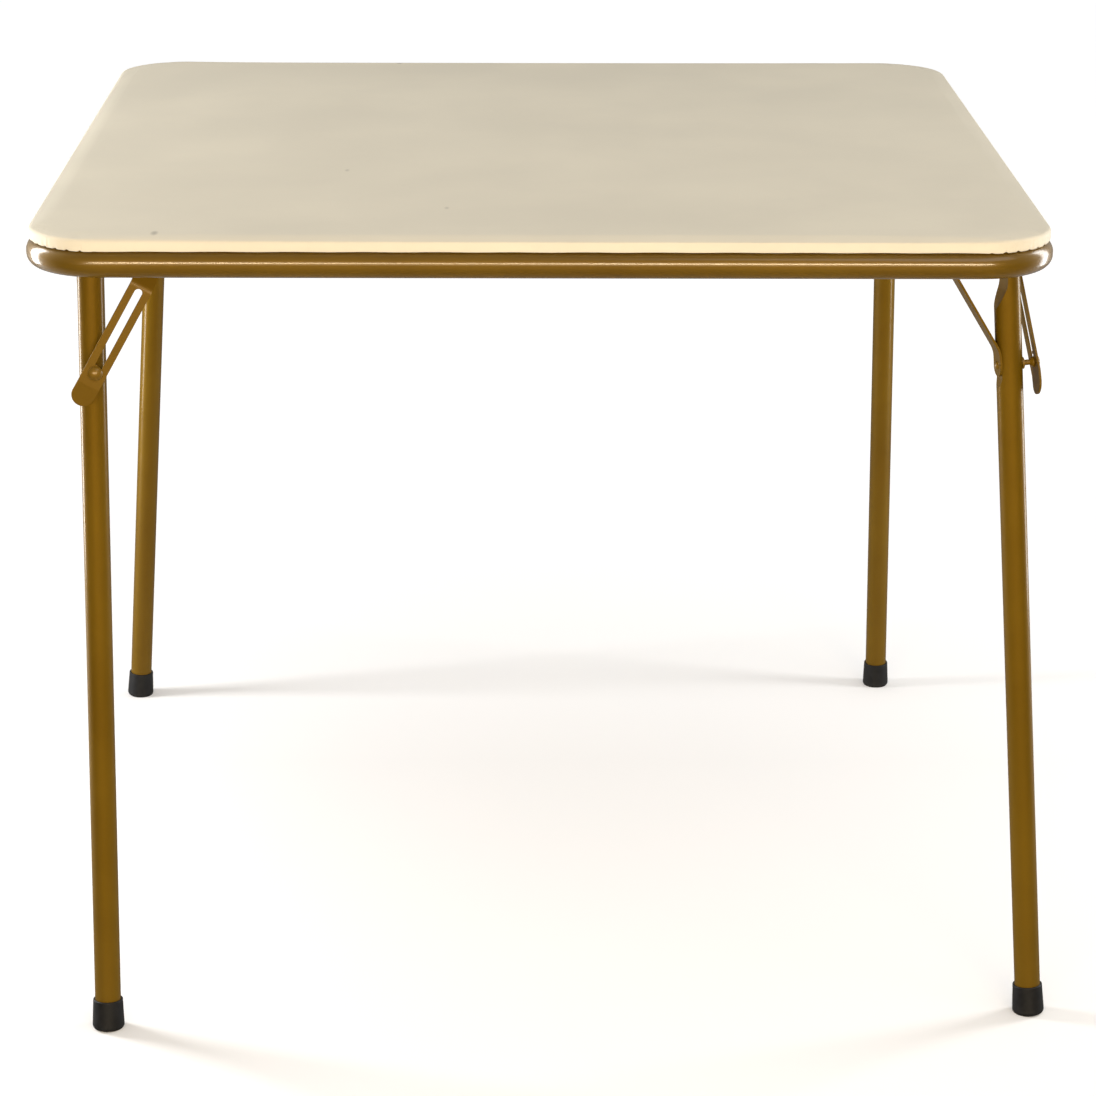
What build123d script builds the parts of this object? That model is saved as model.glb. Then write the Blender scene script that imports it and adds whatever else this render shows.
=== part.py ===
from build123d import *
import os
from math import atan2, cos, degrees, hypot, radians, sin, sqrt

# Square folding card table, standing on its four legs. Millimetres, +Z up.
# The origin is on the floor under the middle of the top.
# Corner 0 is the front left one (-X, -Y); each next corner is a quarter turn further,
# counter-clockwise seen from above. All four are alike, but for how far their legs lean.
corner_names = ("front_left", "front_right", "back_right", "back_left")
quarter_turn = 90
cut_overrun = 5.0

# Padded top
top_width = 863.6
top_height = 711.2
top_corner_radius = 66.0
cover_thickness = 0.8
cover_edge_radius = 3.6
cover_tuck_radius = 1.2
hem_width = 26.0
foam_thickness = 3.2
board_thickness = 4.8
soft_gap = 0.3

# Rail ring under the top, a channel that is open towards the middle
rail_proud = 2.6
rail_height = 23.1
rail_wall = 1.2
rail_round = 10.5
rail_flange = 23.4
rail_lip = 15.4

# Leg tubes and how they stand
leg_radius = 11.4
leg_wall = 1.0
leg_inset = 38.0
pivot_inset = 54.1
pivot_drop = 16.2
fold_toe_in = 11.5
leg_splays = (3.95, 3.35, 3.75, 3.2)
leg_leans = (1.1, 3.55, 2.05, 3.3)
leg_crown_radius = 11.9

# Crimp at the top of the leg, and the flats where the through rivet holds it
crimp_depth = 8.8
crimp_foot = 22.0
crimp_end = 42.0
crimp_bend = 20.0
crimp_skin = 0.1
stay_flat_depth = 2.5
stay_flat_above = 11.2
stay_flat_below = 11.3
stay_flat_ramp = 9.0
washer_flat_depth = 0.8
washer_flat_ramp = 3.0

# Rubber cap
cap_height = 28.0
cap_floor = 4.2
cap_rim_radius = 13.1
cap_foot_radius = 14.3
cap_rim_round = 0.8
cap_foot_round = 4.2
cap_grip = 0.08
foot_flat = 0.75

# Bracket
bracket_sheet = 1.6
ear_gap = 0.5
ear_round = 8.0
ear_half_width = 10.0
ear_drop = 9.0
plate_setback = 11.8
plate_shoulder = 30.0
plate_tongue = 16.0
plate_margin = 5.0
plate_side_step = 12.0

# Rivets and screws
running_play = 0.05
leg_rivet_radius = 3.2
strap_rivet_radius = 3.0
stay_rivet_radius = 2.5
rivet_head_radius = 6.0
rivet_head_height = 2.0
stay_head_radius = 4.8
head_gap = 0.25
flush_rivet_radius = 2.0
flush_rivet_inset = 17.0
flush_head_radius = 3.6
flush_head_height = 1.1
flush_head_round = 0.7
screw_radius = 1.9
screw_head_radius = 3.8
screw_head_height = 2.3
screw_head_round = 1.2
screw_bite = 3.6
screw_inset = 17.0
screw_spacing = 190.0
screws_per_side = 3

# Guide pin and the rivet that carries it
pin_reach = 91.5
stud_radius = 2.4
stud_head_radius = 4.1
stud_head_height = 2.2
washer_radius = 5.2
washer_thickness = 1.8
pin_gap = 0.3
pin_collar_radius = 4.8
pin_collar_length = 3.0
pin_collar_rim = 0.8
pin_tenon_radius = 1.5
pin_head_radius = 6.3
pin_head_rim = 0.5
pin_head_height = 3.3

# Slotted strap
strap_width = 19.8
strap_sheet = 1.8
strap_standoff = 10.0
strap_pivot_ahead = 52.8
strap_pivot_rise = 2.0
strap_tail = 28.7
strap_tail_flat = 10.0
strap_tail_drop = 2.0
strap_flat = 8.0
joggle_end = 25.8
joggle_radius = 10.0
slot_width = 7.0
slot_start = 27.9
slot_run_out = 0.7
pin_aside = 0.2
shoulder_above_pin = 6.7
shoulder_thickness = 2.2
shoulder_clearance = 0.35

# Side stay
stay_width = 17.0
stay_sheet = 2.0
stay_inset = 46.0
stay_tail = 9.4
stay_bend_above = 12.2
stay_high_bend = 11.0
stay_low_radius = 25.0
stay_high_radius = 6.0

# Staples in the hem
staple_crown = 10.0
staple_wire = 1.2
staple_gauge = 0.6
staple_leg = 3.0
staple_inset = 23.6
staple_spacing = 84.0
staples_per_side = 8

# Heights that follow
board_top = top_height - cover_thickness - soft_gap - foam_thickness - soft_gap
board_bottom = board_top - board_thickness
hem_top = board_bottom - soft_gap
cover_bottom = hem_top - cover_thickness
rail_top = cover_bottom - soft_gap
rail_bottom = rail_top - rail_height
flange_bottom = rail_top - rail_wall
plate_bottom = flange_bottom - bracket_sheet
pivot_height = rail_top - pivot_drop

# Plan sizes that follow
half_top = top_width / 2
board_width = top_width - 2 * (cover_thickness + soft_gap)
rail_width = top_width + 2 * rail_proud
half_rail = rail_width / 2
rail_corner_radius = top_corner_radius + rail_proud
pivot_x = half_top - pivot_inset
pivot_y = half_top - leg_inset

# Distances out from the middle plane of a leg's fold
ear_inside = leg_radius + ear_gap
ear_outside = ear_inside + bracket_sheet
strap_low = ear_outside + head_gap
strap_high = leg_radius + strap_standoff
stay_face = leg_radius - stay_flat_depth
stay_flat_top = pin_reach - stay_flat_above
stay_flat_foot = pin_reach + stay_flat_below
stay_ear_inside = stay_inset + stay_sheet / 2 + head_gap
stay_ear_outside = stay_ear_inside + bracket_sheet
plate_inner_line = stay_ear_outside + plate_margin
plate_side_reach = pivot_y - plate_inner_line + plate_side_step
washer_face = leg_radius - washer_flat_depth + washer_thickness

toe_in = radians(fold_toe_in)


# Planes of one corner

def spun(plane, turn):
    """The plane, turned about its own normal."""
    along = plane.x_dir.rotate(Axis((0, 0, 0), plane.z_dir), turn)
    return Plane(origin=plane.origin, x_dir=along, z_dir=plane.z_dir)


def corner_plane(corner):
    """Fold plane at a leg's pivot: x along the fold, y up, z out of the table."""
    side_turn = quarter_turn * corner
    fold_turn = side_turn + fold_toe_in
    splay = radians(leg_splays[corner])
    origin = Vector(-pivot_x, -pivot_y, pivot_height).rotate(Axis.Z, side_turn)
    along = Vector(1, 0, 0).rotate(Axis.Z, fold_turn)
    outward = Vector(0, -cos(splay), sin(splay)).rotate(Axis.Z, fold_turn)
    return Plane(origin=origin, x_dir=along, z_dir=outward)


def leg_plane(corner):
    """The corner's plane, turned until y runs up the leg as it stands."""
    return spun(corner_plane(corner), -leg_leans[corner])


def floor_plane(corner, height):
    """Level plane whose x runs along the corner's side of the table."""
    along = Vector(1, 0, 0).rotate(Axis.Z, quarter_turn * corner)
    return Plane(origin=(0, 0, height), x_dir=along, z_dir=(0, 0, 1))


def side_plane(plane, x=0, y=0):
    """Plane through a point of another: x along its normal, y down, z along its x."""
    return Plane(origin=plane.from_local_coords((x, y, 0)), x_dir=plane.z_dir, z_dir=plane.x_dir)


def fold_point(along, outward):
    """Point on the front left floor plane, so far along the fold and out from the leg's pivot."""
    x = along * cos(toe_in) + outward * sin(toe_in) - pivot_x
    y = along * sin(toe_in) - outward * cos(toe_in) - pivot_y
    return x, y


# How the strap and the pin follow the leg

def pin_place(turn):
    """Guide pin in the corner's plane, with the leg turned from square by so many degrees."""
    angle = radians(turn)
    return pin_reach * sin(angle), -pin_reach * cos(angle)


def strap_place(turn):
    """Direction of the strap in degrees, and the pin's distance from its pivot."""
    x, y = pin_place(turn)
    x = x - strap_pivot_ahead
    y = y - strap_pivot_rise
    reach = sqrt(hypot(x, y) ** 2 - pin_aside**2)
    direction = degrees(atan2(y, x) - atan2(pin_aside, reach))
    return direction, reach


def strap_plane(corner):
    """Plane of a strap as the table stands: x from its pivot down the strap, z outwards."""
    plane = corner_plane(corner)
    direction, _ = strap_place(-leg_leans[corner])
    origin = plane.from_local_coords((strap_pivot_ahead, strap_pivot_rise, 0))
    pivot = Plane(origin=origin, x_dir=plane.x_dir, z_dir=plane.z_dir)
    return spun(pivot, direction)


longest_reach = max(strap_place(-lean)[1] for lean in leg_leans)
shortest_reach = min(strap_place(-lean)[1] for lean in leg_leans)
strap_length = longest_reach + strap_tail
slot_end = longest_reach + pin_tenon_radius + slot_run_out
shoulder_edge = shortest_reach - shoulder_above_pin


# Shapes used more than once

def crown(rim, height):
    """Point halfway up a domed end of this height, whose rim is (place, radius)."""
    place, radius = rim
    sphere = (radius**2 + height**2) / (2 * height)
    middle = place + height - sphere
    half_angle = atan2(radius, place - middle) / 2
    return middle + sphere * cos(half_angle), abs(sphere) * sin(abs(half_angle))


def turned(plane, steps, dome_height=0, tail_dome_height=0):
    """Piece turned about a side plane's x axis; steps are its (place, radius) pairs."""
    first = steps[0]
    last = steps[-1]
    tip = (last[0] + dome_height, 0)
    tail = (first[0] - tail_dome_height, 0)
    with BuildPart() as piece:
        with BuildSketch(plane):
            with BuildLine():
                Polyline(*steps)
                if dome_height:
                    ThreePointArc(last, crown(last, dome_height), tip)
                else:
                    Line(last, tip)
                if tail_dome_height:
                    ThreePointArc(first, dome_back(first, tail_dome_height), tail)
                else:
                    Line(first, tail)
                Line(tail, tip)
            make_face()
        revolve(axis=Axis(plane.origin, plane.x_dir))
    return piece.part


def dome_back(rim, height):
    """The same point for a dome that stands the other way."""
    place, radius = rim
    ahead, out = crown((0, radius), height)
    return place - ahead, out


def slab(low, width, radius, height, top_round=0):
    """Square slab with rounded corners, and a rounded top rim where asked."""
    with BuildPart() as piece:
        with BuildSketch(Plane.XY.offset(low)):
            RectangleRounded(width, width, radius)
        extrude(amount=height)
        if top_round:
            fillet(piece.faces().sort_by(Axis.Z)[-1].edges(), top_round)
    return piece.part


def four_sides(places):
    """Points given along the front side, repeated on all four sides, each with its turn."""
    found = []
    for side in range(4):
        turn = quarter_turn * side
        found += [(Vector(x, y, 0).rotate(Axis.Z, turn), turn) for x, y in places]
    return found


def spread(count, spacing):
    """Places of a centred row."""
    return [(index - (count - 1) / 2) * spacing for index in range(count)]


# Padded top: board, foam and the vinyl that wraps them

board_radius = top_corner_radius - cover_thickness - soft_gap
screw_y = -(half_rail - screw_inset)
screw_places = four_sides([(x, screw_y) for x in spread(screws_per_side, screw_spacing)])
staple_y = -(half_top - staple_inset)
staple_places = four_sides([(x, staple_y) for x in spread(staples_per_side, staple_spacing)])

with BuildPart() as top_board:
    with BuildSketch(Plane.XY.offset(board_bottom)):
        RectangleRounded(board_width, board_width, board_radius)
    extrude(amount=board_thickness)

foam_bottom = board_top + soft_gap
foam_round = cover_edge_radius - cover_thickness - soft_gap

with BuildPart() as foam_pad:
    with BuildSketch(Plane.XY.offset(foam_bottom)):
        RectangleRounded(board_width, board_width, board_radius)
    extrude(amount=foam_thickness)
    fillet(foam_pad.faces().sort_by(Axis.Z)[-1].edges(), foam_round)

pad_room_height = top_height - cover_thickness - hem_top
pad_room = slab(
    hem_top,
    top_width - 2 * cover_thickness,
    top_corner_radius - cover_thickness,
    pad_room_height,
    cover_edge_radius - cover_thickness,
)
hem_opening = top_width - 2 * hem_width

with BuildPart() as vinyl_cover:
    with BuildSketch(Plane.XY.offset(cover_bottom)):
        RectangleRounded(top_width, top_width, top_corner_radius)
    extrude(amount=top_height - cover_bottom)
    fillet(vinyl_cover.faces().sort_by(Axis.Z)[-1].edges(), cover_edge_radius)
    fillet(vinyl_cover.faces().sort_by(Axis.Z)[0].edges(), cover_tuck_radius)
    add(pad_room, mode=Mode.SUBTRACT)
    with BuildSketch(Plane.XY.offset(cover_bottom)):
        RectangleRounded(hem_opening, hem_opening, top_corner_radius - hem_width)
    extrude(amount=cover_thickness, mode=Mode.SUBTRACT)
    with BuildSketch(Plane.XY.offset(cover_bottom)):
        for place, _ in screw_places:
            with Locations(place):
                Circle(screw_radius + soft_gap)
    extrude(amount=cover_thickness, mode=Mode.SUBTRACT)


# Rail ring: half-round outside, flange above, lip below

plate_edge = half_rail - plate_setback
ear_top = plate_bottom + bracket_sheet + cut_overrun - pivot_height
ear_rise = flange_bottom - pivot_height
tongue_reach = strap_pivot_ahead + ear_half_width

# Where the flush rivets sit on the front side, at the corner and on the left side
flush_line = -(half_rail - flush_rivet_inset)
flush_bend = half_rail - rail_corner_radius + (rail_corner_radius - flush_rivet_inset) * sqrt(0.5)
flush_rivet_places = (
    (plate_shoulder - ear_half_width - pivot_x, flush_line),
    (-flush_bend, -flush_bend),
    (flush_line, -plate_side_reach - ear_round),
)

rail_hollow_height = rail_height - 2 * rail_wall
with BuildPart() as rail_hollow:
    with BuildSketch(Plane.XY.offset(rail_bottom + rail_wall)):
        hollow_width = rail_width - 2 * rail_wall
        RectangleRounded(hollow_width, hollow_width, rail_corner_radius - rail_wall)
    extrude(amount=rail_hollow_height)
    fillet(rail_hollow.faces().filter_by(Axis.Z).edges(), rail_round - rail_wall)

with BuildPart() as rail_ring:
    with BuildSketch(Plane.XY.offset(rail_bottom)):
        RectangleRounded(rail_width, rail_width, rail_corner_radius)
    extrude(amount=rail_height)
    fillet(rail_ring.faces().filter_by(Axis.Z).edges(), rail_round)
    add(rail_hollow.part, mode=Mode.SUBTRACT)
    with BuildSketch(Plane.XY.offset(flange_bottom - cut_overrun)):
        flange_opening = rail_width - 2 * rail_flange
        RectangleRounded(flange_opening, flange_opening, rail_corner_radius - rail_flange)
    extrude(amount=rail_wall + 2 * cut_overrun, mode=Mode.SUBTRACT)
    with BuildSketch(Plane.XY.offset(rail_bottom - cut_overrun)):
        lip_opening = rail_width - 2 * rail_lip
        RectangleRounded(lip_opening, lip_opening, rail_corner_radius - rail_lip)
    extrude(amount=rail_wall + 2 * cut_overrun, mode=Mode.SUBTRACT)
    with BuildSketch(Plane.XY.offset(flange_bottom)):
        for place, _ in screw_places:
            with Locations(place):
                Circle(screw_radius + running_play)
        for place, _ in four_sides(flush_rivet_places):
            with Locations(place):
                Circle(flush_rivet_radius + running_play)
    extrude(amount=rail_wall, mode=Mode.SUBTRACT)


# Corner brackets: a plate under the rail's flange with three ears turned down

def corner_bracket(corner):
    """Bracket of one corner, in its place."""
    fold = corner_plane(corner)
    splay = radians(leg_splays[corner])
    ear_line = ear_outside * cos(splay) - ear_rise * sin(splay)
    shoulder_x, shoulder_y = fold_point(plate_shoulder, ear_line)
    ears = (
        (-ear_half_width, tongue_reach, ear_inside),
        (-ear_half_width, ear_half_width, -ear_outside),
        (-ear_half_width, ear_half_width, -stay_ear_outside),
    )
    with BuildPart() as bracket:
        with BuildSketch(floor_plane(corner, plate_bottom)) as plate:
            with BuildLine():
                Polyline(
                    (-plate_edge, -plate_edge),
                    (shoulder_x, -plate_edge),
                    (shoulder_x, shoulder_y),
                    fold_point(tongue_reach, ear_line),
                    fold_point(tongue_reach, ear_line - plate_tongue),
                    fold_point(ear_half_width, -plate_inner_line),
                    fold_point(-ear_half_width, -plate_inner_line),
                    (-plate_edge, -plate_side_reach),
                    close=True,
                )
            make_face()
            outer_corner = plate.vertices().sort_by(Axis((0, 0, 0), (1, 1, 0)))[0]
            fillet(outer_corner, rail_corner_radius - plate_setback)
        extrude(amount=bracket_sheet)
        for left, right, inner_face in ears:
            with BuildSketch(fold.offset(inner_face)):
                with BuildLine():
                    FilletPolyline(
                        (left, ear_top),
                        (left, -ear_drop),
                        (right, -ear_drop),
                        (right, ear_top),
                        radius=ear_round,
                    )
                    Line((left, ear_top), (right, ear_top))
                make_face()
            extrude(amount=bracket_sheet)
        split(bisect_by=Plane.XY.offset(flange_bottom), keep=Keep.BOTTOM)
        with BuildSketch(fold.offset(-ear_outside - cut_overrun)):
            Circle(leg_rivet_radius + running_play)
        extrude(amount=2 * (ear_outside + cut_overrun), mode=Mode.SUBTRACT)
        with BuildSketch(fold.offset(ear_inside)):
            with Locations((strap_pivot_ahead, strap_pivot_rise)):
                Circle(strap_rivet_radius + running_play)
        extrude(amount=bracket_sheet, mode=Mode.SUBTRACT)
        with BuildSketch(fold.offset(-stay_ear_outside)):
            Circle(stay_rivet_radius + running_play)
        extrude(amount=bracket_sheet, mode=Mode.SUBTRACT)
        with BuildSketch(floor_plane(corner, plate_bottom)):
            with Locations(*flush_rivet_places):
                Circle(flush_rivet_radius + running_play)
        extrude(amount=bracket_sheet, mode=Mode.SUBTRACT)
    return bracket.part


# Leg tube with its crimped top, and its flats for the stay and the washer

def leg_reach(corner):
    """Distance down the leg from its pivot to the end of its cap, before the floor wears it."""
    upright = cos(radians(leg_splays[corner])) * cos(radians(leg_leans[corner]))
    return (pivot_height + foot_flat) / upright


def tube_core(corner, inset):
    """Solid inside the tube's outer skin, drawn in by the inset."""
    plane = leg_plane(corner)
    radius = leg_radius - inset
    top = leg_crown_radius
    length = leg_reach(corner) - cap_floor
    open_end = cut_overrun if inset else 0
    top_point = plane.from_local_coords((0, top + open_end, 0))
    outside = -radius - cut_overrun
    crimp_start = -radius - crimp_skin
    crimp_top = -top - 2 * cut_overrun
    stay_flat = (
        (-radius, stay_flat_top - stay_flat_ramp),
        (stay_flat_depth - radius, stay_flat_top),
        (stay_flat_depth - radius, stay_flat_foot),
        (-radius, stay_flat_foot + stay_flat_ramp),
        (outside, stay_flat_foot + stay_flat_ramp),
        (outside, stay_flat_top - stay_flat_ramp),
    )
    washer_flat = (
        (radius, pin_reach - washer_radius - washer_flat_ramp),
        (radius - washer_flat_depth, pin_reach - washer_radius),
        (radius - washer_flat_depth, pin_reach + washer_radius),
        (radius, pin_reach + washer_radius + washer_flat_ramp),
        (-outside, pin_reach + washer_radius + washer_flat_ramp),
        (-outside, pin_reach - washer_radius - washer_flat_ramp),
    )
    with BuildPart() as core:
        with BuildSketch(Plane(origin=top_point, x_dir=plane.x_dir, z_dir=-plane.y_dir)):
            Circle(radius)
        extrude(amount=top + length + 2 * open_end)
        with BuildSketch(side_plane(plane)):
            with BuildLine():
                FilletPolyline(
                    (crimp_start, crimp_end + cut_overrun),
                    (crimp_start, crimp_end),
                    (crimp_depth - radius, crimp_foot),
                    (crimp_depth - radius, crimp_top),
                    radius=crimp_bend,
                )
                Polyline(
                    (crimp_depth - radius, crimp_top),
                    (outside, crimp_top),
                    (outside, crimp_end + cut_overrun),
                    (crimp_start, crimp_end + cut_overrun),
                )
            make_face()
            with BuildLine():
                Polyline(*stay_flat, close=True)
            make_face()
            with BuildLine():
                Polyline(*washer_flat, close=True)
            make_face()
        extrude(amount=radius + cut_overrun, both=True, mode=Mode.SUBTRACT)
    return core.part


def leg_tube(corner):
    """One leg's tube, in its place."""
    plane = leg_plane(corner)
    outer_skin = tube_core(corner, 0)
    inner_skin = tube_core(corner, leg_wall)
    with BuildPart() as leg:
        add(outer_skin)
        add(inner_skin, mode=Mode.SUBTRACT)
        with BuildSketch(plane):
            with Locations((0, leg_crown_radius)):
                Rectangle(2 * leg_radius + cut_overrun, 2 * leg_crown_radius)
            Circle(leg_crown_radius, mode=Mode.SUBTRACT)
        extrude(amount=leg_radius + cut_overrun, both=True, mode=Mode.SUBTRACT)
        with BuildSketch(plane):
            Circle(leg_rivet_radius + running_play)
            with Locations((0, -pin_reach)):
                Circle(stud_radius + running_play)
        extrude(amount=leg_radius + cut_overrun, both=True, mode=Mode.SUBTRACT)
    return leg.part


def foot_cap(corner):
    """Rubber cap on the end of one leg, worn flat by the floor."""
    plane = leg_plane(corner)
    end = -leg_reach(corner)
    bore = leg_radius + cap_grip
    rim = end + cap_height
    seat = end + cap_floor
    with BuildPart() as cap:
        with BuildSketch(plane):
            with BuildLine():
                FilletPolyline(
                    (0, end),
                    (cap_foot_radius, end),
                    (cap_rim_radius, rim),
                    (bore, rim),
                    radius=[cap_foot_round, cap_rim_round],
                )
                Polyline((bore, rim), (bore, seat), (0, seat), (0, end))
            make_face()
        revolve(axis=Axis(plane.origin, plane.y_dir))
        split(bisect_by=Plane.XY, keep=Keep.TOP)
    return cap.part


# Stay, strap and the pins of one corner

def side_stay(corner):
    """Bent flat stay between the leg's inner flank and the bracket's inner ear."""
    plane = leg_plane(corner)
    grip = -stay_face - stay_sheet / 2
    foot = pin_reach + stay_tail
    with BuildPart() as stay:
        with BuildSketch(side_plane(plane)):
            with BuildLine():
                FilletPolyline(
                    (grip, foot),
                    (grip, pin_reach - stay_bend_above),
                    (-stay_inset, stay_high_bend),
                    (-stay_inset, -stay_width / 2),
                    radius=[stay_low_radius, stay_high_radius],
                )
            trace(line_width=stay_sheet)
        extrude(amount=stay_width / 2, both=True)
        with BuildSketch(plane.offset(-stay_inset - stay_sheet)):
            with Locations((0, (stay_width / 2 - foot) / 2)):
                SlotOverall(foot + stay_width / 2, stay_width, rotation=90)
            Circle(stay_rivet_radius + running_play, mode=Mode.SUBTRACT)
            with Locations((0, -pin_reach)):
                Circle(stud_radius + running_play, mode=Mode.SUBTRACT)
        extrude(amount=stay_inset + stay_sheet, mode=Mode.INTERSECT)
    return stay.part


def slotted_strap(corner):
    """Folding strap, joggled from its pivot out to the guide pin, with its slot."""
    plane = strap_plane(corner)
    profile = Plane(origin=plane.origin, x_dir=plane.x_dir, z_dir=-plane.y_dir)
    low = strap_low + strap_sheet / 2
    high = strap_high + strap_sheet / 2
    heel = -strap_width / 2
    shoulder_tip = pin_aside - pin_tenon_radius - shoulder_clearance
    shoulder_root = -slot_width
    tail_start = longest_reach + strap_tail_flat
    tail_tip = strap_length + strap_sheet
    with BuildPart() as strap:
        with BuildSketch(profile):
            with BuildLine():
                FilletPolyline(
                    (heel, low),
                    (strap_flat, low),
                    (joggle_end, high),
                    (tail_start, high),
                    (tail_tip, high - strap_tail_drop),
                    radius=joggle_radius,
                )
            trace(line_width=strap_sheet)
        extrude(amount=strap_width / 2, both=True)
        with BuildSketch(plane):
            with Locations(((strap_length + heel) / 2, 0)):
                SlotOverall(strap_length - heel, strap_width)
            Circle(strap_rivet_radius + running_play, mode=Mode.SUBTRACT)
            with Locations(((slot_start + slot_end) / 2, 0)):
                SlotOverall(slot_end - slot_start, slot_width, mode=Mode.SUBTRACT)
            with BuildLine():
                Polyline(
                    (shoulder_edge, shoulder_root),
                    (shoulder_edge, shoulder_tip),
                    (shoulder_edge + shoulder_thickness, shoulder_tip),
                    (shoulder_edge + shoulder_thickness, shoulder_root),
                    close=True,
                )
            make_face()
        extrude(amount=strap_high + strap_sheet + cut_overrun, mode=Mode.INTERSECT)
    return strap.part


def leg_rivet(corner):
    """Rivet through the stay and the leg, with the washer that the guide pin stands on."""
    stay_outside = stay_face + stay_sheet
    return turned(
        side_plane(leg_plane(corner), 0, -pin_reach),
        (
            (-stay_outside, stud_head_radius),
            (-stay_outside, stud_radius),
            (leg_radius - washer_flat_depth, stud_radius),
            (leg_radius - washer_flat_depth, washer_radius),
            (washer_face, washer_radius),
        ),
        tail_dome_height=stud_head_height,
    )


def guide_pin(corner):
    """Standoff pin with a collar inside the strap and a domed head outside it."""
    collar = strap_high - head_gap
    head = strap_high + strap_sheet + head_gap
    return turned(
        side_plane(leg_plane(corner), 0, -pin_reach),
        (
            (washer_face + pin_gap, stud_radius),
            (collar - pin_collar_length, stud_radius),
            (collar - pin_collar_rim, pin_collar_radius),
            (collar, pin_collar_radius),
            (collar, pin_tenon_radius),
            (head, pin_tenon_radius),
            (head, pin_head_radius),
            (head + pin_head_rim, pin_head_radius),
        ),
        dome_height=pin_head_height,
    )


def leg_pivot_rivet(corner):
    """Rivet through the leg's top and the two ears beside it."""
    return turned(
        side_plane(corner_plane(corner)),
        (
            (-ear_outside, rivet_head_radius),
            (-ear_outside, leg_rivet_radius),
            (ear_outside, leg_rivet_radius),
            (ear_outside, rivet_head_radius),
        ),
        dome_height=rivet_head_height,
        tail_dome_height=rivet_head_height,
    )


def strap_pivot_rivet(corner):
    """Rivet of the slotted strap, flush with the inside of its ear."""
    head = strap_low + strap_sheet + head_gap
    return turned(
        side_plane(corner_plane(corner), strap_pivot_ahead, strap_pivot_rise),
        (
            (ear_inside, strap_rivet_radius),
            (head, strap_rivet_radius),
            (head, rivet_head_radius),
        ),
        dome_height=rivet_head_height,
    )


def stay_pivot_rivet(corner):
    """Rivet of the side stay, in line with the leg's own pivot."""
    head = stay_sheet / 2 + head_gap - stay_inset
    return turned(
        side_plane(corner_plane(corner)),
        (
            (-stay_ear_outside, stay_head_radius),
            (-stay_ear_outside, stay_rivet_radius),
            (head, stay_rivet_radius),
            (head, stay_head_radius),
        ),
        dome_height=rivet_head_height,
        tail_dome_height=rivet_head_height,
    )


# Fasteners that come in groups

corners = range(len(corner_names))
leg_pivots = [leg_pivot_rivet(corner) for corner in corners]
strap_pivots = [strap_pivot_rivet(corner) for corner in corners]
stay_pivots = [stay_pivot_rivet(corner) for corner in corners]

with BuildPart() as leg_pivot_rivets:
    add(leg_pivots)

with BuildPart() as strap_pivot_rivets:
    add(strap_pivots)

with BuildPart() as stay_pivot_rivets:
    add(stay_pivots)

with BuildPart() as bracket_rivets:
    with BuildSketch(Plane.XY.offset(plate_bottom)):
        for place, _ in four_sides(flush_rivet_places):
            with Locations(place):
                Circle(flush_rivet_radius)
    extrude(amount=rail_top - plate_bottom)
    with BuildSketch(Plane.XY.offset(plate_bottom - flush_head_height)):
        for place, _ in four_sides(flush_rivet_places):
            with Locations(place):
                Circle(flush_head_radius)
    extrude(amount=flush_head_height)
    fillet(bracket_rivets.faces().group_by(Axis.Z)[0].edges(), flush_head_round)

with BuildPart() as panel_screws:
    with BuildSketch(Plane.XY.offset(flange_bottom)):
        for place, _ in screw_places:
            with Locations(place):
                Circle(screw_radius)
    extrude(amount=board_bottom + screw_bite - flange_bottom)
    with BuildSketch(Plane.XY.offset(flange_bottom - screw_head_height)):
        for place, _ in screw_places:
            with Locations(place):
                Circle(screw_head_radius)
    extrude(amount=screw_head_height)
    fillet(panel_screws.faces().group_by(Axis.Z)[0].edges(), screw_head_round)

staple_leg_place = (staple_crown - staple_gauge) / 2
with BuildPart() as hem_staples:
    with BuildSketch(Plane.XY.offset(cover_bottom - staple_gauge)):
        for place, turn in staple_places:
            with Locations(Location(place, (0, 0, turn))):
                Rectangle(staple_crown, staple_wire)
    extrude(amount=staple_gauge)
    with BuildSketch(Plane.XY.offset(cover_bottom - staple_gauge)):
        for place, turn in staple_places:
            with Locations(Location(place, (0, 0, turn))):
                with Locations((-staple_leg_place, 0), (staple_leg_place, 0)):
                    Rectangle(staple_gauge, staple_wire)
    extrude(amount=board_bottom + staple_leg - cover_bottom + staple_gauge)


# Every piece under its name

pieces = {
    "vinyl_cover": vinyl_cover.part,
    "foam_pad": foam_pad.part,
    "top_board": top_board.part,
    "rail_ring": rail_ring.part,
    "leg_pivot_rivets": leg_pivot_rivets.part,
    "strap_pivot_rivets": strap_pivot_rivets.part,
    "stay_pivot_rivets": stay_pivot_rivets.part,
    "bracket_rivets": bracket_rivets.part,
    "panel_screws": panel_screws.part,
    "hem_staples": hem_staples.part,
}
corner_pieces = {
    "corner_bracket": corner_bracket,
    "leg_tube": leg_tube,
    "foot_cap": foot_cap,
    "side_stay": side_stay,
    "leg_rivet": leg_rivet,
    "guide_pin": guide_pin,
    "slotted_strap": slotted_strap,
}
for corner in corners:
    for kind, make in corner_pieces.items():
        pieces[kind + "_" + corner_names[corner]] = make(corner)

os.makedirs("parts", exist_ok=True)
for label, piece in pieces.items():
    piece.label = label
    export_step(piece, "parts/" + label + ".step")
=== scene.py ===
from math import atan2, pi, sin

import bpy
from mathutils import Matrix, Vector


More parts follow.
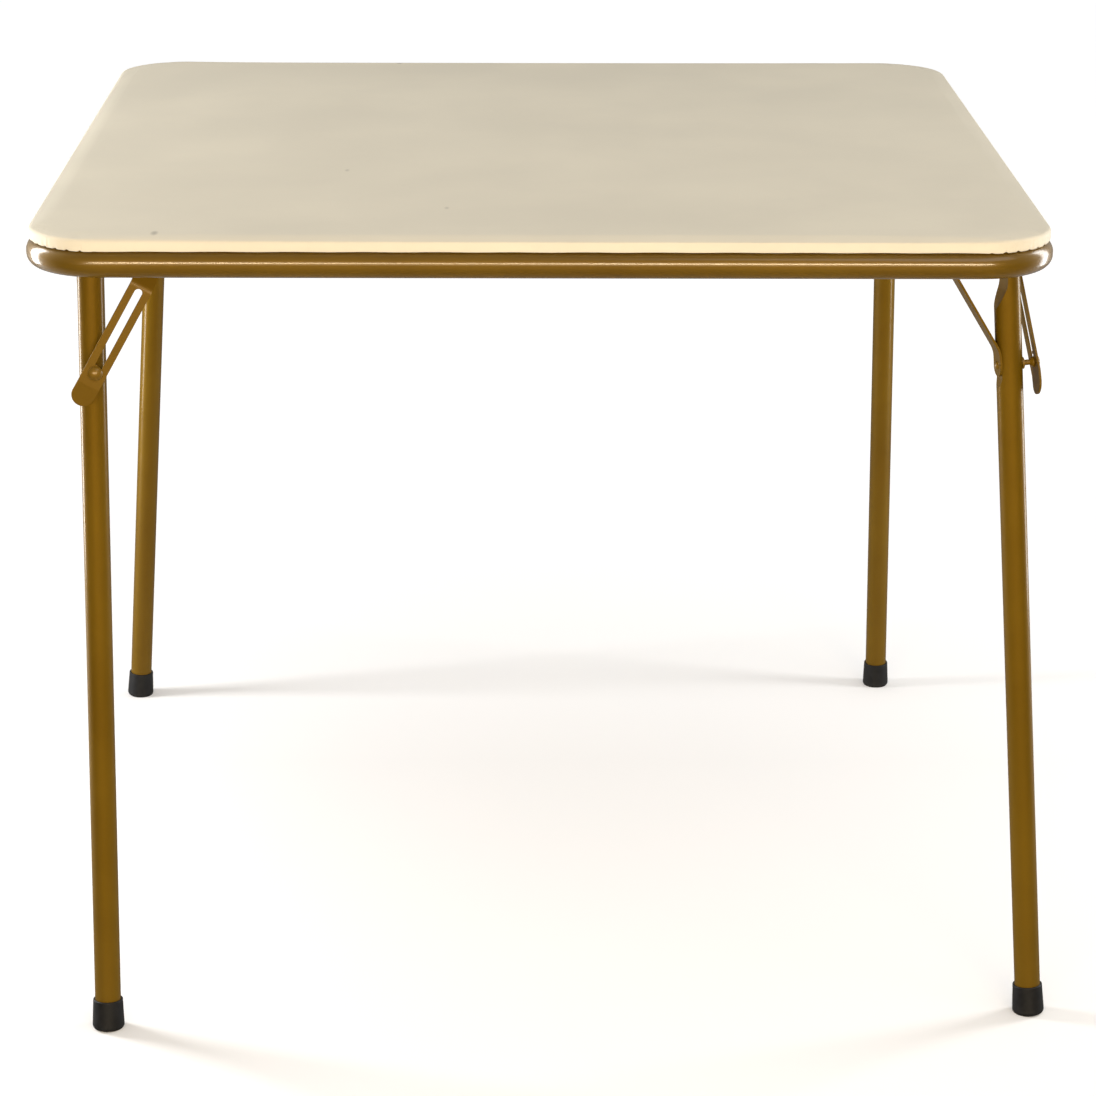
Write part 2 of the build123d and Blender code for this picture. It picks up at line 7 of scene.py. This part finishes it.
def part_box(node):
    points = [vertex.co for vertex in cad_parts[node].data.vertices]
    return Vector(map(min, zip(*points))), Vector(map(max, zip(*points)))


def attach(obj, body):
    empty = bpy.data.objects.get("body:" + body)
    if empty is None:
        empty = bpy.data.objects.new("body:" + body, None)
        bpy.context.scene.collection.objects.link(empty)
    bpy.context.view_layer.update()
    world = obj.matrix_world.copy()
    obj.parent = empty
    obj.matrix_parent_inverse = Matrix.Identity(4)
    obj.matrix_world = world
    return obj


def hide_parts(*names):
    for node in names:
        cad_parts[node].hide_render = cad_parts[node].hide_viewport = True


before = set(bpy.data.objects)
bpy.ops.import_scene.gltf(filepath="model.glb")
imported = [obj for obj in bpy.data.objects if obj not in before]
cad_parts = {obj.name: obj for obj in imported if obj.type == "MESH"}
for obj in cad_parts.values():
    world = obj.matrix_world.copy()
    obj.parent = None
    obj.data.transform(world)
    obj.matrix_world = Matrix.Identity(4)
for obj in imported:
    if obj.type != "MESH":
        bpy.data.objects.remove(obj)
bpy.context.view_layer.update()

CORNERS = ("front_left", "front_right", "back_right", "back_left")


# Camera, where the photograph was taken from: metres and radians, and millimetres for the lens

CAMERA_PLACE = (-0.0319, -3.1802, 1.3310)
CAMERA_YAW = 0.0103
CAMERA_PITCH = 0.3209
CAMERA_ROLL = 0.0042
CAMERA_LENS = 111.4
CAMERA_SENSOR = 36
CAMERA_SHIFT = (0.0115, 0.027)
CAMERA_NEAR = 0.05
CAMERA_FAR = 60


def set_camera():
    """Places the camera and makes it the scene's own."""
    data = bpy.data.cameras.new("camera")
    data.sensor_width = CAMERA_SENSOR
    data.lens = CAMERA_LENS
    data.shift_x, data.shift_y = CAMERA_SHIFT
    data.clip_start = CAMERA_NEAR
    data.clip_end = CAMERA_FAR
    camera = bpy.data.objects.new("camera", data)
    bpy.context.scene.collection.objects.link(camera)
    turn = Matrix.Rotation(-CAMERA_YAW, 4, "Z")
    tilt = Matrix.Rotation(pi / 2 - CAMERA_PITCH, 4, "X")
    roll = Matrix.Rotation(CAMERA_ROLL, 4, "Z")
    camera.matrix_world = Matrix.Translation(CAMERA_PLACE) @ turn @ tilt @ roll
    bpy.context.scene.camera = camera


# Node trees

class Tree:
    """A node tree, with short ways to add its nodes."""

    def __init__(self, tree):
        self.nodes = tree.nodes
        self.links = tree.links

    def add(self, kind, **settings):
        """Adds one node and sets its properties."""
        node = self.nodes.new(kind)
        for key, value in settings.items():
            setattr(node, key, value)
        return node

    def put(self, socket, value):
        """Gives a socket a value, or joins another node's socket to it."""
        if isinstance(value, bpy.types.NodeSocket):
            self.links.new(value, socket)
        else:
            socket.default_value = value

    def result(self, node, *values):
        """Fills a node's first sockets in their order, and gives its result."""
        for socket, value in zip(node.inputs, values):
            self.put(socket, value)
        return node.outputs[0]

    def parts(self, vector):
        """The node that splits a vector into X, Y and Z."""
        node = self.add("ShaderNodeSeparateXYZ")
        self.put(node.inputs[0], vector)
        return node

    def span(self, value, low, high, to_low, to_high):
        """Maps a value from one range to another, and holds it there."""
        return self.result(self.add("ShaderNodeMapRange"), value, low, high, to_low, to_high)

    def sum(self, first, second, share=1.0):
        """First plus a share of the second."""
        node = self.add("ShaderNodeMath", operation="MULTIPLY_ADD")
        return self.result(node, second, share, first)

    def product(self, first, second):
        """First times second."""
        return self.result(self.add("ShaderNodeMath", operation="MULTIPLY"), first, second)

    def larger(self, first, second):
        """The larger of two values."""
        return self.result(self.add("ShaderNodeMath", operation="MAXIMUM"), first, second)

    def blend(self, share, first, second):
        """Value between two others."""
        node = self.add("ShaderNodeMix", data_type="FLOAT")
        for index, value in ((0, share), (2, first), (3, second)):
            self.put(node.inputs[index], value)
        return node.outputs[0]

    def mix(self, share, first, second):
        """Colour between two others."""
        node = self.add("ShaderNodeMix", data_type="RGBA")
        for index, value in ((0, share), (6, first), (7, second)):
            self.put(node.inputs[index], value)
        return node.outputs[2]


class Finish(Tree):
    """A material, patterned on its piece's own coordinates."""

    def __init__(self, name, **values):
        self.material = bpy.data.materials.new(name)
        self.material.use_nodes = True
        super().__init__(self.material.node_tree)
        self.shader = self.nodes["Principled BSDF"]
        for key, value in values.items():
            label = key.replace("_", " ").title().replace("Ior", "IOR")
            self.shader.inputs[label].default_value = value
        self.place = self.add("ShaderNodeTexCoord").outputs["Object"]

    def stretched(self, scale):
        """Object coordinates, scaled per axis."""
        node = self.add("ShaderNodeMapping")
        self.put(node.inputs["Vector"], self.place)
        self.put(node.inputs["Scale"], scale)
        return node.outputs["Vector"]

    def noise(self, scale, detail=3, roughness=0.55, vector=None):
        """Soft noise, scale in cells a metre."""
        node = self.add("ShaderNodeTexNoise")
        self.put(node.inputs["Vector"], vector or self.place)
        self.put(node.inputs["Scale"], scale)
        self.put(node.inputs["Detail"], detail)
        self.put(node.inputs["Roughness"], roughness)
        return node.outputs["Fac"]

    def cells(self, scale):
        """Distance to the middle of the nearest cell, scale in cells a metre."""
        node = self.add("ShaderNodeTexVoronoi")
        self.put(node.inputs["Vector"], self.place)
        self.put(node.inputs["Scale"], scale)
        return node.outputs["Distance"]

    def nearness(self, point, vector):
        """Distance from a point."""
        node = self.add("ShaderNodeVectorMath", operation="DISTANCE")
        self.put(node.inputs[0], vector)
        self.put(node.inputs[1], point)
        return node.outputs["Value"]

    def colour(self, value):
        self.put(self.shader.inputs["Base Color"], value)

    def gloss(self, value):
        self.put(self.shader.inputs["Roughness"], value)

    def bump(self, height, depth, strength):
        """Raises the surface by a height, depth in metres."""
        node = self.add("ShaderNodeBump")
        self.put(node.inputs["Strength"], strength)
        self.put(node.inputs["Distance"], depth)
        self.put(node.inputs["Height"], height)
        self.put(self.shader.inputs["Normal"], node.outputs["Normal"])


# Colours of the finishes, as linear red, green, blue and opacity

CREAM_DULL = (0.650, 0.595, 0.475, 1)
CREAM_FRESH = (0.685, 0.627, 0.500, 1)
CREAM_RUBBED = (0.60, 0.545, 0.45, 1)
SPECK_BROWN = (0.22, 0.19, 0.15, 1)
GOLD_DEEP = (0.146, 0.078, 0.0022)
GOLD_BASE = (0.176, 0.098, 0.0040)
STEEL_BARE = (0.26, 0.21, 0.13, 1)
RUBBER_BLACK = (0.005, 0.005, 0.0055, 1)
RUBBER_DULL = (0.010, 0.010, 0.0105, 1)
RUBBER_SCUFFED = (0.022, 0.021, 0.020, 1)
ZINC_DARK = (0.42, 0.41, 0.39, 1)
ZINC_PALE = (0.55, 0.54, 0.51, 1)
BOARD_DARK = (0.095, 0.052, 0.026, 1)
BOARD_PALE = (0.215, 0.128, 0.068, 1)

# Depths of the fine surfaces, in metres
VINYL_DEPTH = 0.00006
PAINT_DEPTH = 0.00003
RUBBER_DEPTH = 0.00006
BOARD_DEPTH = 0.0001

# Roughness of the finishes, from the glossiest spots to the dullest
VINYL_ROUGHNESS = (0.54, 0.68)
PAINT_ROUGHNESS = (0.50, 0.60)
RUBBER_ROUGHNESS = (0.46, 0.60)
ZINC_ROUGHNESS = (0.28, 0.42)
BOARD_ROUGHNESS = (0.45, 0.62)

# Patterns of the finishes, in cells a metre
VINYL_CLOUDS = 7
VINYL_RUBS = 38
VINYL_GRAIN = 1300
VINYL_FINE = 2600
VINYL_PLEATS = 330
PAINT_FLAKES = 2600
PAINT_DRIFT = 11
PAINT_RUBS = 150
PAINT_SHEEN = 60
PAINT_PEEL = 300
RUBBER_DUST = 160
RUBBER_SCUFFS = 220
RUBBER_SKIN = 900
ZINC_CRYSTALS = 300
ZINC_SHEEN = 700
BOARD_FIBRES = 260
BOARD_FLECKS = 900

# Small marks on the vinyl, drawn out from front to back: x, y, half their width, and strength
SPECKS = (
    (-0.3214, -0.4121, 0.0038, 0.5),
    (-0.0799, -0.3118, 0.0026, 0.3),
    (-0.1725, -0.1520, 0.0026, 0.3),
    (-0.1414, 0.4146, 0.0038, 0.4),
)
SPECK_DRAW = 0.4
SPECK_CORE = 0.3

# Pleats round the corners of the vinyl: distances from the middle of the top where they start
# and where they are full, how strong they are, and how far they are drawn out upwards
PLEATS_FROM = 0.566
PLEATS_FULL = 0.574
PLEATS_STRENGTH = 25
PLEATS_DRAW = 0.06


def cream_vinyl():
    """Matte cream vinyl with a fine pressed grain, a few faint scuffs and specks."""
    f = Finish("cream_vinyl", specular_ior_level=0.25)
    cloudy = f.noise(VINYL_CLOUDS, detail=4)
    clean = f.mix(f.span(cloudy, 0.35, 0.65, 0, 1), CREAM_DULL, CREAM_FRESH)
    rubbed = f.span(f.noise(VINYL_RUBS, detail=6, roughness=0.7), 0.62, 0.78, 0, 0.35)
    marked = f.mix(rubbed, clean, CREAM_RUBBED)
    flat = f.stretched((1, SPECK_DRAW, 0))
    for x, y, reach, strength in SPECKS:
        away = f.nearness((x, y * SPECK_DRAW, 0), flat)
        speck = f.span(away, reach * SPECK_CORE, reach, strength, 0)
        marked = f.mix(speck, marked, SPECK_BROWN)
    f.colour(marked)
    fine = f.noise(VINYL_FINE, detail=2)
    f.gloss(f.span(f.sum(cloudy, fine, 0.3), 0.4, 0.9, *VINYL_ROUGHNESS))
    pressed = f.sum(f.cells(VINYL_GRAIN), fine, 0.5)
    to_corner = f.nearness((0, 0, 0), f.stretched((1, 1, 0)))
    round_corner = f.span(to_corner, PLEATS_FROM, PLEATS_FULL, 0, PLEATS_STRENGTH)
    drawn = f.noise(VINYL_PLEATS, detail=2, vector=f.stretched((1, 1, PLEATS_DRAW)))
    f.bump(f.sum(pressed, drawn, round_corner), VINYL_DEPTH, 0.45)
    return f.material


def gold_with_painted_light(colour, light):
    """A gold with its red and green raised by a share of painted light, and its blue left."""
    red, green, blue = colour
    return (red * light, green * light, blue, 1)


def gold_paint(name, clear_coat, coat_blur=0.18, coat_index=1.5, light=1.0, wear=0.0):
    """Gold-brown metallic paint, sprayed on steel; wear shows grey steel in small rubbed spots;
    light above 1 makes it lighter, as painted light.
    """
    f = Finish(name, metallic=0.4, specular_ior_level=0.05, coat_weight=clear_coat,
               coat_roughness=coat_blur, coat_ior=coat_index)
    flake = f.noise(PAINT_FLAKES, detail=2)
    drift = f.noise(PAINT_DRIFT, detail=4)
    sprayed = f.span(f.sum(drift, flake, 0.4), 0.5, 0.9, 0, 1)
    paint = f.mix(sprayed, gold_with_painted_light(GOLD_DEEP, light), gold_with_painted_light(GOLD_BASE, light))
    rubs = f.noise(PAINT_RUBS, detail=6, roughness=0.7)
    bare = f.span(rubs, 0.78 - wear, 0.84 - wear, 0, 0.6)
    f.colour(f.mix(bare, paint, STEEL_BARE))
    sheen = f.sum(f.noise(PAINT_SHEEN, detail=4), flake, 0.3)
    f.gloss(f.span(sheen, 0.4, 0.9, *PAINT_ROUGHNESS))
    f.bump(f.sum(flake, f.noise(PAINT_PEEL), 0.5), PAINT_DEPTH, 0.15)
    return f.material


def black_rubber():
    """Moulded black rubber, greyed by handling and by the floor."""
    f = Finish("black_rubber", specular_ior_level=0.4)
    dust = f.noise(RUBBER_DUST, detail=5, roughness=0.6)
    clean = f.mix(f.span(dust, 0.4, 0.75, 0, 1), RUBBER_BLACK, RUBBER_DULL)
    height = f.parts(f.place).outputs["Z"]
    ragged = f.sum(height, f.noise(RUBBER_SCUFFS, detail=4), -0.012)
    scuffs = f.span(ragged, -0.006, 0.0, 0.5, 0)
    f.colour(f.mix(scuffs, clean, RUBBER_SCUFFED))
    f.gloss(f.span(dust, 0.3, 0.7, *RUBBER_ROUGHNESS))
    f.bump(f.noise(RUBBER_SKIN), RUBBER_DEPTH, 0.45)
    return f.material


def zinc(name):
    """Plated steel of the fasteners."""
    f = Finish(name, metallic=1.0)
    f.colour(f.mix(f.span(f.noise(ZINC_CRYSTALS), 0.35, 0.65, 0, 1), ZINC_DARK, ZINC_PALE))
    f.gloss(f.span(f.noise(ZINC_SHEEN), 0.3, 0.7, *ZINC_ROUGHNESS))
    return f.material


def hardboard():
    """Brown pressed-fibre board."""
    f = Finish("hardboard", specular_ior_level=0.35)
    fibres = f.noise(BOARD_FIBRES, detail=6, roughness=0.7, vector=f.stretched((1, 0.35, 1)))
    flecks = f.noise(BOARD_FLECKS, detail=4, roughness=0.7)
    pressed = f.span(f.sum(fibres, flecks, 0.5), 0.55, 0.95, 0, 1)
    f.colour(f.mix(pressed, BOARD_DARK, BOARD_PALE))
    f.gloss(f.span(flecks, 0.3, 0.7, *BOARD_ROUGHNESS))
    f.bump(f.sum(fibres, flecks, 0.6), BOARD_DEPTH, 0.4)
    return f.material


def dress(material, *nodes):
    """Puts a material on CAD nodes."""
    for name in nodes:
        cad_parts[name].data.materials.clear()
        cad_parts[name].data.materials.append(material)


def at_corners(*kinds):
    """The names of the nodes of these kinds at all four corners."""
    return [kind + "_" + corner for kind in kinds for corner in CORNERS]


def dress_table():
    """Gives every CAD node that stays in the picture its finish."""
    dress(gold_paint("rail_paint", clear_coat=1.0, coat_blur=0.21, coat_index=1.65), "rail_ring")
    dress(gold_paint("leg_paint", clear_coat=0.45), *at_corners("leg_tube"))
    dress(gold_paint("fold_paint", clear_coat=0.35, coat_blur=0.3, wear=0.06),
          *at_corners("slotted_strap", "corner_bracket", "side_stay"),
          "leg_pivot_rivets", "strap_pivot_rivets", "stay_pivot_rivets")
    # The pin and rivet heads are the same gold paint made lighter, as painted light for the light
    # their domed heads catch
    dress(gold_paint("pin_paint", clear_coat=1.0, coat_blur=0.3, light=1.3, wear=0.02),
          *at_corners("guide_pin", "leg_rivet"))
    dress(black_rubber(), *at_corners("foot_cap"))
    dress(zinc("plated_steel"), "bracket_rivets", "panel_screws")
    dress(zinc("staple_wire"), "hem_staples")
    dress(hardboard(), "top_board")


# Modelling helpers

# How far from level an edge may be in metres, how level a face is, and how large in square metres
LEVEL_SLACK = 1e-5
LEVEL_FACE = 0.999
LARGE_AREA = 0.1


def choose(piece):
    """Makes one piece the selected and active one."""
    bpy.ops.object.select_all(action="DESELECT")
    piece.select_set(True)
    bpy.context.view_layer.objects.active = piece


def pick(piece, mode, test):
    """Selects just the vertices, edges or faces that pass a test."""
    bpy.ops.mesh.select_all(action="DESELECT")
    bpy.ops.mesh.select_mode(type=mode)
    bpy.ops.object.mode_set(mode="OBJECT")
    mesh = piece.data
    items = {"VERT": mesh.vertices, "EDGE": mesh.edges, "FACE": mesh.polygons}[mode]
    for item in items:
        item.select = test(mesh, item)
    bpy.ops.object.mode_set(mode="EDIT")


def pick_open_edges(piece, z):
    """Selects the open edges that lie at one height."""
    bpy.ops.mesh.select_all(action="DESELECT")
    bpy.ops.mesh.select_mode(type="EDGE")
    bpy.ops.mesh.select_non_manifold(
        extend=False, use_wire=False, use_boundary=True, use_multi_face=False,
        use_non_contiguous=False, use_verts=False,
    )
    bpy.ops.object.mode_set(mode="OBJECT")
    level = on_level(z)
    for edge in piece.data.edges:
        edge.select = edge.select and level(piece.data, edge)
    bpy.ops.object.mode_set(mode="EDIT")


def edge_ends(mesh, edge):
    return [mesh.vertices[i].co for i in edge.vertices]


def on_level(z):
    """Test for edges that lie at one height."""
    return lambda mesh, edge: all(abs(end.z - z) < LEVEL_SLACK for end in edge_ends(mesh, edge))


def longer_than(length):
    """Test for edges longer than a length."""
    def test(mesh, edge):
        start, end = edge_ends(mesh, edge)
        return (start - end).length > length
    return test


def large_face(up):
    """Test for large level faces, which look up where up is 1, and down where it is -1."""
    return lambda mesh, face: face.normal.z * up > LEVEL_FACE and face.area > LARGE_AREA


def bounded(value):
    """Holds a share between 0 and 1."""
    return max(0.0, min(1.0, value))


# Padded top, in metres

COVER_RADIUS = 0.066
COVER_ROUND = 0.0036
COVER_ROUND_STEPS = 6
COVER_TUCK = 0.0012
COVER_TUCK_STEPS = 3
COVER_SHEET = 0.0008
COVER_SIDE = 3 * COVER_SHEET
HEM = 0.026
CORNER_STEPS = 32
SIDE_CUTS = 63
RIM_STEPS = (0.002, 0.004, 0.006)

# Foam under the vinyl, which pushes it up as cloth
FOAM_PUSH = 0.0012
FOAM_PRESSURE = 1.2
CLOTH_FRAMES = 10
CLOTH_QUALITY = 3
CLOTH_MASS = 0.3
CLOTH_STRETCH = 30
CLOTH_SHEAR = 20
CLOTH_BEND = 4

# Pleats in the cover's side at its corners, which sway in depth, and nicks in its lower edge there
CORNER_BEND = 4
PLEATS_LATER = 0.8
PLEAT_PITCH = 0.0068
PLEAT_DEPTH = 0.0003
PLEAT_SWAY = 0.4
SWAY_TURN = 310
NICK_PITCH = 0.0123
NICK_DEPTH = 0.0014
NICK_SHARPNESS = 4

# Slight wave all along the lower edge
WAVE_PITCH = 0.061
WAVE_SLANT = 0.9
EDGE_WAVE = 0.00015


def flat_sheet(side, z):
    """The outline of the top with round corners, filled as one face, open in edit mode."""
    bpy.ops.object.select_all(action="DESELECT")
    bpy.ops.mesh.primitive_plane_add(size=side, location=(0, 0, z))
    piece = bpy.context.active_object
    piece.name = piece.data.name = "padded_top"
    bpy.ops.object.transform_apply(location=True, rotation=True, scale=True)
    bpy.ops.object.mode_set(mode="EDIT")
    bpy.ops.mesh.select_all(action="SELECT")
    bpy.ops.mesh.bevel(offset=COVER_RADIUS, segments=CORNER_STEPS, affect="VERTICES")
    bpy.ops.mesh.select_all(action="SELECT")
    bpy.ops.mesh.delete(type="ONLY_FACE")
    pick(piece, "EDGE", longer_than(side / 2))
    bpy.ops.mesh.subdivide(number_cuts=SIDE_CUTS)
    bpy.ops.mesh.select_all(action="SELECT")
    bpy.ops.mesh.edge_face_add()
    return piece


def wrapped_sheet():
    """The vinyl, drawn over the foam and round the board's edge, and turned under as a hem."""
    low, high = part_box("vinyl_cover")
    piece = flat_sheet(high.x - low.x, high.z)
    bpy.ops.mesh.extrude_region_move(TRANSFORM_OT_translate={"value": (0, 0, low.z - high.z)})

    # Rounded upper edge and tucked lower edge
    pick(piece, "EDGE", on_level(high.z))
    bpy.ops.mesh.bevel(offset=COVER_ROUND, segments=COVER_ROUND_STEPS, affect="EDGES")
    pick(piece, "EDGE", on_level(low.z))
    bpy.ops.mesh.bevel(offset=COVER_TUCK, segments=COVER_TUCK_STEPS, affect="EDGES")

    # Hem, open in the middle of the underside
    pick(piece, "FACE", large_face(-1))
    bpy.ops.mesh.inset(thickness=HEM - COVER_TUCK)
    pick(piece, "FACE", large_face(-1))
    bpy.ops.mesh.delete(type="FACE")

    # Rings inside the upper edge, and a grid over the rest of the top
    for step in RIM_STEPS:
        pick(piece, "FACE", large_face(1))
        bpy.ops.mesh.inset(thickness=step)
    pick(piece, "FACE", large_face(1))
    bpy.ops.mesh.delete(type="ONLY_FACE")
    pick_open_edges(piece, high.z)
    bpy.ops.mesh.fill_grid(span=SIDE_CUTS + 1 + CORNER_STEPS, offset=CORNER_STEPS // 2)

    bpy.ops.mesh.select_all(action="SELECT")
    bpy.ops.mesh.normals_make_consistent(inside=False)
    bpy.ops.object.mode_set(mode="OBJECT")
    return piece


def push_with_foam(piece):
    """Lets the foam press the vinyl up as cloth, with its sides and hem held fast."""
    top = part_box("vinyl_cover")[1].z
    held = piece.vertex_groups.new(name="held")
    vertices = piece.data.vertices
    below = top - COVER_ROUND / 2
    held.add([vertex.index for vertex in vertices if vertex.co.z < below], 1.0, "REPLACE")
    before = [vertex.co.copy() for vertex in vertices]
    cloth = piece.modifiers.new("cloth", "CLOTH")
    cloth.settings.vertex_group_mass = "held"
    cloth.settings.quality = CLOTH_QUALITY
    cloth.settings.mass = CLOTH_MASS
    cloth.settings.tension_stiffness = CLOTH_STRETCH
    cloth.settings.compression_stiffness = CLOTH_STRETCH
    cloth.settings.shear_stiffness = CLOTH_SHEAR
    cloth.settings.bending_stiffness = CLOTH_BEND
    cloth.settings.use_pressure = True
    cloth.settings.uniform_pressure_force = FOAM_PRESSURE
    cloth.settings.effector_weights.gravity = 0
    cloth.point_cache.frame_start = 1
    cloth.point_cache.frame_end = CLOTH_FRAMES
    scene = bpy.context.scene
    for step in range(1, CLOTH_FRAMES + 1):
        scene.frame_set(step)
    choose(piece)
    bpy.ops.object.modifier_apply(modifier="cloth")
    scene.frame_set(1)
    for vertex, start in zip(piece.data.vertices, before):
        move = vertex.co - start
        if move.length > FOAM_PUSH:
            vertex.co = start + move.normalized() * FOAM_PUSH


def gather(piece):
    """Draws pleats and nicks into the cover's corners, and a slight wave into its lower edge."""
    low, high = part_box("vinyl_cover")
    core = high.x - COVER_RADIUS
    half_depth = (high.z - low.z) / 2
    for vertex in piece.data.vertices:
        x, y, z = vertex.co
        outward = Vector((x - max(-core, min(core, x)), y - max(-core, min(core, y)), 0))
        if outward.length < COVER_RADIUS - COVER_SIDE:
            continue
        outward.normalize()
        lower = bounded((high.z - COVER_ROUND - z) / half_depth)
        hanging = max(0.0, (low.z + half_depth - z) / half_depth)
        bend = CORNER_BEND * abs(outward.x * outward.y)
        curved = bounded(bend - PLEATS_LATER)
        along = atan2(outward.y, outward.x) * COVER_RADIUS
        sway = 1 - PLEAT_SWAY + PLEAT_SWAY * sin(along * SWAY_TURN)
        pleat = sin(2 * pi * along / PLEAT_PITCH) * sway
        nick = max(0.0, sin(2 * pi * along / NICK_PITCH)) ** NICK_SHARPNESS
        wave = sin(2 * pi * (x + WAVE_SLANT * y) / WAVE_PITCH)
        vertex.co += outward * (pleat - 1) * PLEAT_DEPTH * curved * lower
        drop = NICK_DEPTH * (nick - 0.5) * bounded(bend) + EDGE_WAVE * (wave - 1)
        vertex.co.z += hanging * drop


def padded_top():
    """The padded top's vinyl as one soft piece with its real thickness."""
    piece = wrapped_sheet()
    push_with_foam(piece)
    choose(piece)
    solid = piece.modifiers.new("sheet", "SOLIDIFY")
    solid.thickness = COVER_SHEET
    solid.offset = -1
    bpy.ops.object.modifier_apply(modifier="sheet")
    smooth = piece.modifiers.new("smooth", "SUBSURF")
    smooth.levels = 1
    smooth.render_levels = 1
    bpy.ops.object.modifier_apply(modifier="smooth")
    gather(piece)
    bpy.ops.object.shade_smooth()
    piece.data.materials.append(cream_vinyl())
    return piece


# Floor: a glow for the camera lifts it to white behind the table, from one distance to another

FLOOR_SIDE = 40
FLOOR_WHITE = (0.8, 0.8, 0.8, 1)
GLOW_FROM = 0.2
GLOW_FULL = 1.7
GLOW_NEAR = 0.08
GLOW_FAR = 0.52

# What glossy pieces mirror of it: darker in front of the table, paler behind
MIRRORED_FRONT = (0.03, 0.03, 0.03, 1)
MIRRORED_BACK = (0.35, 0.35, 0.35, 1)
MIRRORED_FROM = -0.9
MIRRORED_FULL = 0.3
MIRRORED_GLOW = 0.1


def set_floor():
    """Plain white floor that keeps the table's shadow."""
    bpy.ops.object.select_all(action="DESELECT")
    bpy.ops.mesh.primitive_plane_add(size=FLOOR_SIDE, location=(0, 0, 0))
    floor = bpy.context.active_object
    floor.name = "floor"
    f = Finish("floor_white", specular_ior_level=0.0, roughness=1.0, emission_color=(1, 1, 1, 1))
    path = f.add("ShaderNodeLightPath")
    y = f.parts(f.place).outputs["Y"]
    behind = f.span(y, MIRRORED_FROM, MIRRORED_FULL, 0, 1)
    mirrored = f.mix(behind, MIRRORED_FRONT, MIRRORED_BACK)
    f.colour(f.mix(path.outputs["Is Glossy Ray"], FLOOR_WHITE, mirrored))
    in_gloss = f.product(path.outputs["Is Glossy Ray"], behind)
    seen = f.sum(path.outputs["Is Camera Ray"], in_gloss, MIRRORED_GLOW)
    lift = f.span(y, GLOW_FROM, GLOW_FULL, GLOW_NEAR, GLOW_FAR)
    f.put(f.shader.inputs["Emission Strength"], f.product(seen, lift))
    floor.data.materials.append(f.material)


# Lamps: metres and watts

WARM_LIGHT = (1.0, 0.79, 0.51)
WHITE_LIGHT = (1, 1, 1)

# Softboxes side by side in front: name, left end, right end and power
FRONT_LAMPS = (
    ("front_left_softbox", -1.6, -0.43, 36),
    ("front_middle_softbox", -0.43, 0.05, 7.5),
    ("front_right_softbox", 0.05, 1.7, 50),
)
FRONT_LAMPS_Y = -3.5
FRONT_LAMPS_Z = 1.2
FRONT_LAMPS_AIM = 0.66
FRONT_LAMPS_HEIGHT = 0.27

# The others: name, place, aim, size and power
WHITE_LAMPS = (
    ("left_panel", (-1.5, 0.2, 0.8), (-0.4, -0.4, 0.7), (0.4, 1.5), 30),
    ("right_panel", (1.5, 0.2, 0.8), (0.4, -0.4, 0.7), (0.4, 1.5), 15),
    ("top_softbox", (1.4, -1.9, 2.9), (0.2, -0.4, 0.7), (2.4, 1.4), 12),
)


def add_lamp(name, place, aim, size, power, colour):
    data = bpy.data.lights.new(name, "AREA")
    data.shape = "RECTANGLE"
    data.size, data.size_y = size
    data.energy = power
    data.color = colour
    lamp = bpy.data.objects.new(name, data)
    bpy.context.scene.collection.objects.link(lamp)
    lamp.location = place
    lamp.rotation_euler = (Vector(aim) - Vector(place)).to_track_quat("-Z", "Y").to_euler()


def set_lamps():
    """Warm softboxes in front under the camera, a white panel at each side, a weak lamp above."""
    for name, left, right, power in FRONT_LAMPS:
        middle = (left + right) / 2
        add_lamp(name, (middle, FRONT_LAMPS_Y, FRONT_LAMPS_Z), (middle, 0, FRONT_LAMPS_AIM),
                 (right - left, FRONT_LAMPS_HEIGHT), power, WARM_LIGHT)
    for name, place, aim, size, power in WHITE_LAMPS:
        add_lamp(name, place, aim, size, power, WHITE_LIGHT)


# Room round the table: as it lights it, from the horizon up, and as glossy pieces mirror it,
# from the front to the back

LIT_LOW = 0.3
LIT_HIGH = 0.72
LIT_FULL = 0.9
ROOM_IN_GLOSS_FRONT = 0.12
ROOM_IN_GLOSS_BACK = 0.4
ROOM_IN_GLOSS_TURN = 0.4


def set_room():
    """White to the camera, and a plain soft light to the table."""
    world = bpy.data.worlds.new("room")
    bpy.context.scene.world = world
    world.use_nodes = True
    room = Tree(world.node_tree)
    path = room.add("ShaderNodeLightPath")
    way = room.parts(room.add("ShaderNodeTexCoord").outputs["Generated"])
    mirrored = room.span(way.outputs["Y"], -ROOM_IN_GLOSS_TURN, ROOM_IN_GLOSS_TURN,
                         ROOM_IN_GLOSS_FRONT, ROOM_IN_GLOSS_BACK)
    light = room.span(way.outputs["Z"], 0.0, LIT_FULL, LIT_LOW, LIT_HIGH)
    on_table = room.blend(path.outputs["Is Glossy Ray"], light, mirrored)
    seen = room.larger(path.outputs["Is Camera Ray"], path.outputs["Is Transmission Ray"])
    backdrop = room.nodes["Background"]
    room.put(backdrop.inputs["Color"], (1, 1, 1, 1))
    room.put(backdrop.inputs["Strength"], room.blend(seen, on_table, 1.0))


set_camera()
bpy.context.scene.view_settings.view_transform = "Standard"
dress_table()

pad = padded_top()
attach(pad, "top")
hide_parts("vinyl_cover", "foam_pad")

set_floor()
set_lamps()
set_room()
